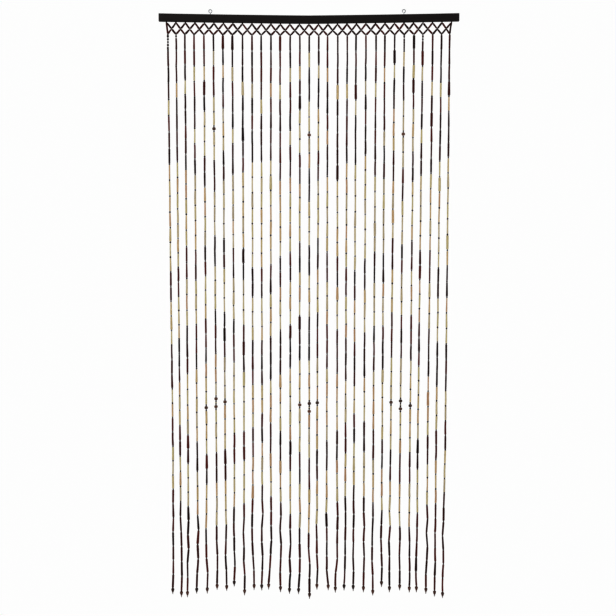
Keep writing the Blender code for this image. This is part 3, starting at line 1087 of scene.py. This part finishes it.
@dataclass
class ScrewEye:
    """A wire that rises from the bar and bends round into a ring that nearly closes."""

    layout: Layout
    side: int
    wire: float = 0.0010
    ring: float = 0.0046
    root_depth: float = 0.0050
    neck: float = 0.0072
    ring_start: float = -70.0
    ring_end: float = 245.0
    ring_steps: int = 44
    # The bend from the shank into the ring: outwards, and up from the neck
    bend: Profile = ((0.0, -0.0008), (0.00012, 0.0004), (0.0005, 0.0016), (0.00098, 0.0023))

    def build(self, finish: bpy.types.Material) -> bpy.types.Object:
        """Make the eye.

        Args:
            finish: its material.

        Returns:
            The piece.
        """
        name = "screw_eye_left" if self.side < 0 else "screw_eye_right"
        x = self.layout.eye_x(self.side)
        path: list[Point] = [(x, 0.0, self.layout.bar_top(x) - self.root_depth)]
        path += [(x + out, 0.0, up - self.neck) for out, up in self.bend]
        for step in range(self.ring_steps + 1):
            turned = (self.ring_end - self.ring_start) * step / self.ring_steps
            angle = math.radians(self.ring_start + turned)
            path.append((x + self.ring * math.cos(angle), 0.0, self.ring * math.sin(angle)))
        mesh = wire_mesh(name + "_wire", [path], self.wire, 5)
        return dress(mesh, name + "_wire", finish, [name])


# The kinds of tube: how far each bows, and its outer points from the top down, one unit long
TUBE_KINDS: tuple[tuple[float, Profile], ...] = (
    # straight
    (0.0, ((0.92, 0.5), (1.0, 0.492), (1.0, 0.2), (1.0, -0.2), (1.0, -0.492), (0.92, -0.5))),
    # tapered
    (0.0, ((0.82, 0.5), (0.9, 0.49), (0.98, 0.1), (1.1, -0.3), (1.1, -0.485), (1.0, -0.5))),
    # with the ring of a node
    (0.0, ((0.94, 0.5), (1.02, 0.49), (0.98, 0.2), (1.13, 0.165), (0.97, 0.13), (0.95, -0.49), (0.88, -0.5))),
    # slightly bowed
    (0.18, ((0.9, 0.5), (0.97, 0.49), (0.95, 0.25), (0.95, 0.0), (1.0, -0.25), (1.03, -0.49), (0.95, -0.5))),
)


@dataclass
class Strung:
    """The heading and the strands: tubes, seed beads, balls, end beads, knots and cord."""

    layout: Layout
    nodes: ThreadingNodes
    tube_radius: float = 0.0025
    low_radius: float = 0.0027
    loose_radius: float = 0.0028
    stained_spread: tuple[float, float] = (0.87, 1.13)
    natural_spread: tuple[float, float] = (0.78, 1.16)
    thick_radius: float = 0.0035
    # A random tone is raised to one of these, so that more tubes are red, or black
    redder: float = 0.6
    blacker: float = 1.5
    arm_radius: float = 0.0027
    arm_spread: tuple[float, float] = (0.90, 1.05)
    arm_tones: tuple[float, float] = (0.2, 0.85)
    arm_inset: float = 0.0030
    seed_radius: float = 0.0024
    seed_height: float = 0.0054
    seed_radius_spread: tuple[float, float] = (0.8, 1.12)
    seed_height_spread: tuple[float, float] = (0.85, 1.1)
    round_pitch: float = 0.0086
    round_scale: float = 1.25
    # The first round bead's middle, in pitches under the heading
    round_start: float = 0.7
    slack: float = 0.0002
    cord_radius: float = 0.00045
    cord_in_bar: float = 0.005
    cord_in_knot: float = 0.002
    sides: int = 10
    strand_seed: int = 1000
    heading_seed: int = 77
    dark: PointSet = field(default_factory=PointSet)
    light: PointSet = field(default_factory=PointSet)
    seeds: PointSet = field(default_factory=PointSet)
    balls: PointSet = field(default_factory=PointSet)
    ends: PointSet = field(default_factory=PointSet)
    knots: PointSet = field(default_factory=PointSet)
    cords: list[list[Point]] = field(default_factory=list)

    def build(self) -> list[bpy.types.Object]:
        """Place everything, then make each kind of thing a piece.

        Returns:
            The pieces.
        """
        for strand in self.layout.numbers():
            self.place_strand(strand)
        self.place_heading()
        return self.pieces()

    def place_strand(self, strand: int) -> None:
        """Place the tubes and beads of one strand.

        Args:
            strand: the strand's number.
        """
        draw = random.Random(self.strand_seed + strand)
        line: list[Point] = []
        thick = THICK.get(strand, ())
        items = self.layout.threaded(strand)
        for index, item in enumerate(items):
            line += [item.upper, item.lower]
            if item.code is Code.BALL:
                self.balls.add(item.upper, item.lower, self.layout.ball_radius, draw.random(), 0, draw)
                continue
            stout = item.number in thick and item.code is not Code.SPACER
            loose = index >= len(items) - self.layout.loose_tubes
            low = item.lower[2] < self.layout.middle_level
            radius = self.loose_radius if loose else self.low_radius if low else self.tube_radius
            spread = self.natural_spread if item.code is Code.LIGHT else self.stained_spread
            radius = self.thick_radius if stout else radius * draw.uniform(*spread)
            tone = draw.random() ** (self.redder if low or strand in REDDER_STRANDS else self.blacker)
            if index == 0:
                item = self.place_round_beads(item, ROUND_BEADS.get(strand, 0), draw)
            after_ball = items[index - 1].code is Code.BALL
            before_ball = index + 1 < len(items) and items[index + 1].code is Code.BALL
            self.place_tube(item, radius, tone, after_ball, before_ball, draw)
        end = line[-1]
        layout = self.layout
        foot = (end[0], end[1], end[2] - layout.end_bead_length)
        self.ends.add(end, foot, 1.0, draw.random(), 0, draw)
        self.knots.add(foot, (end[0], end[1], layout.strand_end(strand)), 1.0, 0.5, 0, draw)
        line.append((end[0], end[1], foot[2] - self.cord_in_knot))
        self.cords.append(line)

    def place_round_beads(self, item: Threaded, count: int, draw: random.Random) -> Threaded:
        """Place the round beads that start a strand.

        Args:
            item: the strand's first tube.
            count: how many beads there are.
            draw: the source of their sizes.

        Returns:
            What is left of the tube under them.
        """
        upper = Vector(item.upper)
        way = (Vector(item.lower) - upper).normalized()
        for number in range(count):
            middle = upper + way * self.round_pitch * (number + self.round_start)
            self.place_seed(middle, draw, self.round_scale)
        return Threaded(item.code, item.number, tuple(upper + way * self.round_pitch * count), item.lower)

    def place_tube(self, item: Threaded, radius: float, tone: float, after_ball: bool, before_ball: bool,
                   draw: random.Random) -> None:
        """Place one tube and the seed bead at its foot; next to a ball, a seed bead parts them.

        Args:
            item: what the tube is and where its joints are.
            radius: its radius.
            tone: which colour it takes, from zero to one.
            after_ball: whether a ball is above it.
            before_ball: whether a ball is below it.
            draw: the source of its shape.
        """
        upper, lower = Vector(item.upper), Vector(item.lower)
        way = (lower - upper).normalized()
        half = self.seed_height / 2 + self.slack
        if after_ball:
            self.place_seed(upper + way * half, draw)
        self.place_seed(lower - way * half if before_ball else lower, draw)
        top = upper + way * half * (2 if after_ball else 1)
        foot = lower - way * half * (2 if before_ball else 1)
        chosen = self.light if item.code in (Code.LIGHT, Code.SPACER) else self.dark
        chosen.add(top, foot, radius, tone, draw.randrange(len(TUBE_KINDS)), draw)

    def place_seed(self, joint: Sequence[float], draw: random.Random, scale: float = 1.0) -> None:
        """Place one seed bead on a joint.

        Args:
            joint: its middle.
            draw: the source of its size.
            scale: its size against a common one.
        """
        half = scale * self.seed_height / 2 * draw.uniform(*self.seed_height_spread)
        radius = scale * self.seed_radius * draw.uniform(*self.seed_radius_spread)
        x, y, z = joint
        self.seeds.add((x, y, z + half), (x, y, z - half), radius, draw.random(), 0, draw)

    def place_heading(self) -> None:
        """Place the crossed arms, the upright end pieces and the beads where they meet."""
        layout = self.layout
        draw = random.Random(self.heading_seed)
        for strand in layout.numbers():
            x = layout.hole_x(strand)
            top = (x, 0.0, layout.bar_bottom(x) - self.seed_height / 2)
            foot = (layout.root_x(strand), 0.0, layout.heading_bottom(layout.root_x(strand)))
            self.place_seed(top, draw)
            self.place_seed(foot, draw)
            self.cords.append([(x, 0.0, layout.bar_bottom(x) + self.cord_in_bar), top])
            for crossed in (strand - 1, strand):
                if not 1 <= crossed < layout.strands:
                    self.place_arm(top, foot, draw)
                    continue
                middle = layout.crossing(crossed)
                self.place_arm(top, middle, draw)
                self.place_arm(middle, foot, draw)
            if strand < layout.strands:
                self.place_seed(layout.crossing(strand), draw)

    def place_arm(self, upper: Point, lower: Point, draw: random.Random) -> None:
        """Place one short tube of the heading, with its cord.

        Args:
            upper: its upper joint.
            lower: its lower joint.
            draw: the source of its tone and shape.
        """
        start, stop = Vector(upper), Vector(lower)
        way = (stop - start).normalized()
        self.cords.append([upper, lower])
        radius = self.arm_radius * draw.uniform(*self.arm_spread)
        tone = draw.uniform(*self.arm_tones)
        self.dark.add(start + way * self.arm_inset, stop - way * self.arm_inset, radius, tone,
                      draw.randrange(len(TUBE_KINDS)), draw)

    def bored(self, outside: Profile) -> list[tuple[float, float]]:
        """A tube's whole profile: its outer points between the bore's two mouths, closed a little way in."""
        bore, sunk = 0.5, 0.46
        return [(0.0, sunk), (bore, sunk), (bore, 0.5), *outside, (bore, -0.5), (bore, -sunk), (0.0, -sunk)]

    def tube_shapes(self) -> list[bpy.types.Mesh]:
        """The kinds of tube, one unit long."""
        return [lathe("tube", self.bored(outside), self.sides, bend=bow) for bow, outside in TUBE_KINDS]

    def seed_shape(self) -> bpy.types.Mesh:
        """A small barrel, one unit high.

        Returns:
            The mesh.
        """
        upper = ((0.0, 0.5), (0.55, 0.5), (0.88, 0.36))
        lower = tuple((radius, -height) for radius, height in reversed(upper))
        return lathe("seed bead", (*upper, (1.0, 0.0), *lower), 8, sharp=70.0)

    def ball_shape(self) -> bpy.types.Mesh:
        """A bored ball, one unit high, with the turning's flat at each end of its bore.

        Returns:
            The mesh.
        """
        bore, sunk, mouth, pole = 0.23, 0.40, 0.475, 0.485
        angles = [math.radians(degrees) for degrees in range(72, -73, -12)]
        round_side = [(math.cos(angle), pole * math.sin(angle)) for angle in angles]
        profile = [(bore, sunk), (bore, mouth), *round_side, (bore, -mouth), (bore, -sunk), (bore, sunk)]
        return lathe("turned ball", profile, 24, sharp=55.0)

    def end_shape(self) -> bpy.types.Mesh:
        """A bored drop, one unit high, with its shoulder near the top.

        Returns:
            The mesh.
        """
        wide = 0.0047
        points = ((0.24, 0.40), (0.24, 0.485), (0.45, 0.482), (0.74, 0.43), (0.93, 0.35), (1.0, 0.26),
                  (0.985, 0.15), (0.90, 0.02), (0.76, -0.13), (0.60, -0.27), (0.46, -0.38), (0.37, -0.46),
                  (0.30, -0.485), (0.24, -0.485), (0.24, -0.40), (0.24, 0.40))
        return lathe("end bead", [(radius * wide, height) for radius, height in points], 18, sharp=55.0)

    def knot_shape(self) -> bpy.types.Mesh:
        """An overhand knot with its two short tails, swept at real size and then made one unit high.

        Returns:
            The mesh.
        """
        total = self.layout.knot_and_tail
        height, reach, rise, thickness, steps = 0.0034, 0.000372, 0.00075, 0.00055, 30
        middle = (total - height) / 2
        turns = [math.tau * step / steps for step in range(steps + 1)]
        loop = [(reach * (math.sin(turn) + 2 * math.sin(2 * turn)),
                 reach * (math.cos(turn) - 2 * math.cos(2 * turn)), middle - rise * math.sin(3 * turn))
                for turn in turns]
        tails = [[(0.0, 0.0, middle), (0.0002 * lean, 0.0001, middle - 0.0016),
                  (0.00055 * lean, -0.0001 * lean, middle - 0.0028),
                  (0.0008 * lean, 0.0, 0.0001 + 0.0002 * (lean + 1) - total / 2)] for lean in (-1, 1)]
        mesh = wire_mesh("knot", [loop, *tails], thickness, 1)
        for vert in mesh.vertices:
            vert.co.z /= total
        keep_place(mesh)
        return mesh

    def pieces(self) -> list[bpy.types.Object]:
        """Make a piece of each set of points, and one of the cords.

        Returns:
            The pieces.
        """
        stained, natural, twine = STAINED_BAMBOO.build(), NATURAL_BAMBOO.build(), CORD.build()
        tubes = self.tube_shapes()
        balls = [name for name in frame["nodes"] if name.startswith("ball_")]
        ends = [f"end_bead_{strand:02d}" for strand in self.layout.numbers()]
        jobs = (
            # name, points, shapes, finish, wobble, wobbles in a metre, slot, CAD nodes
            ("stained_bamboo_tubes", self.dark, tubes, stained, 0.16, 90.0, "dark_bamboo",
             ["strung_curtain"]),
            ("natural_bamboo_tubes", self.light, tubes, natural, 0.16, 90.0, "natural_bamboo", []),
            ("seed_beads", self.seeds, [self.seed_shape()], SEED_WOOD.build(), 0.1, 400.0, "seed_bead", []),
            ("turned_balls", self.balls, [self.ball_shape()], BALL_WOOD.build(), 0.03, 150.0, "ball_wood",
             balls),
            ("turned_end_beads", self.ends, [self.end_shape()], END_WOOD.build(), 0.0, 100.0, "end_bead_wood",
             ends),
            ("end_knots", self.knots, [self.knot_shape()], twine, 0.0, 100.0, "cord", []),
        )
        made = []
        for name, points, shapes, finish, wobble, patch, slot, nodes in jobs:
            mesh = self.nodes.run(points, name, shapes, finish, wobble, patch)
            made.append(dress(mesh, name, finish, nodes))
        cords = wire_mesh("threading_cords", self.cords, self.cord_radius, 1)
        made.append(dress(cords, "threading_cords", twine))
        return made


# The studio


@dataclass
class Studio:
    """A pale floor, soft lights and the camera at the photograph's viewing angle."""

    floor_level: float = -2.0
    floor_reach: float = 30.0
    white: str = "FEFEFE"
    camera_place: Point = (-0.0004, -3.0622, -0.6537)
    pitch_down: float = 4.452
    turn: float = 0.052
    roll: float = -0.023
    lens: float = 58.56
    soft_light: float = 0.45
    # The photograph's tone curve: mid tones fall, while white stays white
    contrast: float = 0.62

    def build(self) -> None:
        """Set the stage."""
        self.floor()
        self.world()
        self.lights()
        self.camera()

    def floor(self) -> None:
        """A pale floor that runs out of sight."""
        work = bmesh.new()
        bmesh.ops.create_circle(work, cap_ends=True, segments=64, radius=self.floor_reach)
        bmesh.ops.translate(work, verts=work.verts, vec=(0.0, 0.0, self.floor_level))
        mesh = release(work, bpy.data.meshes.new("studio_floor"))
        material = bpy.data.materials.new("pale studio floor")
        material.use_nodes = True
        tree = material.node_tree
        shader = tree.nodes["Principled BSDF"]
        shader.inputs["Base Color"].default_value = linear("F4F4F3")
        shader.inputs["Roughness"].default_value = 0.9
        rays = add_node(tree, "ShaderNodeLightPath")
        glow = add_node(tree, "ShaderNodeEmission", {"Color": linear(self.white), "Strength": 1.0})
        seen = add_node(tree, "ShaderNodeMixShader",
                        links={0: rays.outputs["Is Camera Ray"], 1: shader, 2: glow})
        tree.links.new(seen.outputs[0], tree.nodes["Material Output"].inputs["Surface"])
        mesh.materials.append(material)
        link_object("studio_floor", mesh)

    def world(self) -> None:
        """White all round for the camera, and a softer grey light for the object."""
        world = bpy.data.worlds.new("white studio")
        bpy.context.scene.world = world
        world.use_nodes = True
        tree = world.node_tree
        rays = add_node(tree, "ShaderNodeLightPath")
        seen = tree.nodes["Background"]
        seen.inputs["Color"].default_value = linear(self.white)
        seen.inputs["Strength"].default_value = 1.0
        soft = add_node(tree, "ShaderNodeBackground", {"Color": linear("FFFFFF"),
                                                        "Strength": self.soft_light})
        both = add_node(tree, "ShaderNodeMixShader",
                        links={0: rays.outputs["Is Camera Ray"], 1: soft, 2: seen})
        tree.links.new(both.outputs[0], tree.nodes["World Output"].inputs["Surface"])

    def lights(self) -> None:
        """Two large soft lights in front, one behind."""
        rows = (
            # name, place, target height, size, power
            ("front_left", (-2.2, -3.2, 0.8), -0.8, 2.4, 60.0),
            ("front_right", (2.6, -2.8, 0.2), -0.9, 2.0, 35.0),
            ("behind", (0.5, 3.2, 1.0), -0.8, 2.5, 35.0),
        )
        for name, place, height, size, power in rows:
            data = bpy.data.lights.new(name, "AREA")
            data.size = size
            data.energy = power
            lamp = link_object(name, data)
            lamp.location = place
            way = Vector((0.0, 0.0, height)) - Vector(place)
            lamp.rotation_euler = way.to_track_quat("-Z", "Y").to_euler()

    def camera(self) -> None:
        """The camera, in front and a little below the bar, tilted down."""
        data = bpy.data.cameras.new("photo_camera")
        data.lens = self.lens
        data.clip_end = 200.0
        camera = link_object("photo_camera", data)
        camera.location = self.camera_place
        camera.rotation_mode = "YXZ"
        camera.rotation_euler = (math.radians(90.0 - self.pitch_down), 0.0, math.radians(self.turn))
        look = camera.rotation_euler.to_quaternion() @ Quaternion((0.0, 0.0, 1.0), math.radians(self.roll))
        camera.rotation_mode = "QUATERNION"
        camera.rotation_quaternion = look
        bpy.context.scene.camera = camera
        view = bpy.context.scene.view_settings
        view.view_transform = "Standard"
        view.gamma = self.contrast


def main() -> None:
    """Build the curtain and its studio, and report each piece."""
    logging.basicConfig(level=logging.INFO, format="%(name)s: %(message)s")
    layout = Layout()
    Studio().build()
    HeadBar(layout).build(SLAT_WOOD.build())
    wire = WIRE.build()
    for side in (-1, 1):
        ScrewEye(layout, side).build(wire)
    Strung(layout, ThreadingNodes()).build()


if __name__ == "__main__":
    main()
